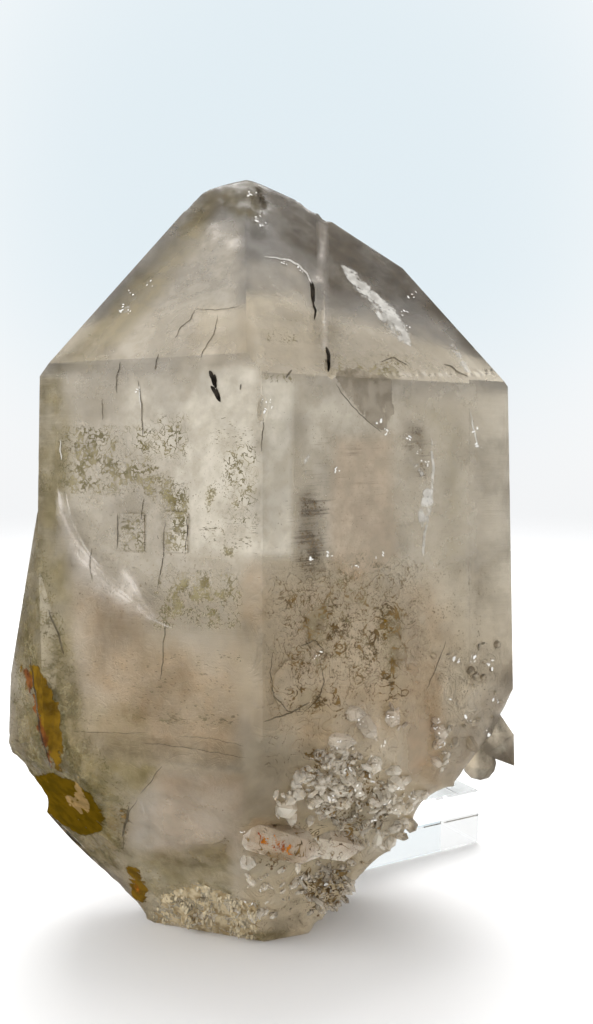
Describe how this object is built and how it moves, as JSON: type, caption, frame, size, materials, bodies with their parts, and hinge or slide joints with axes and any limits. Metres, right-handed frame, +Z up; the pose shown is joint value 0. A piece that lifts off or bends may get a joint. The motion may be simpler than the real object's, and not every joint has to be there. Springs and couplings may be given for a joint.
{
  "type": "smoky quartz crystal",
  "caption": "Large smoky quartz crystal with a pointed tip and a broken base overgrown with small crystals, leaning against a clear block.",
  "frame": {"origin": "on the ground, under the middle of the outline of the crystal and its block", "axes": "+Z up along the crystal's height, -Y towards the pictured front, +X to the right of that front"},
  "size_m": [0.0906, 0.0912, 0.1375],
  "materials": {
    "smoky_quartz": "translucent smoky quartz with a glassy natural surface, milky and ochre-stained towards the base",
    "clear_acrylic": "clear polished acrylic"
  },
  "bodies": {
    "root": {"quartz_crystal": "smoky_quartz", "clear_block": "clear_acrylic"}
  },
  "joints": []
}
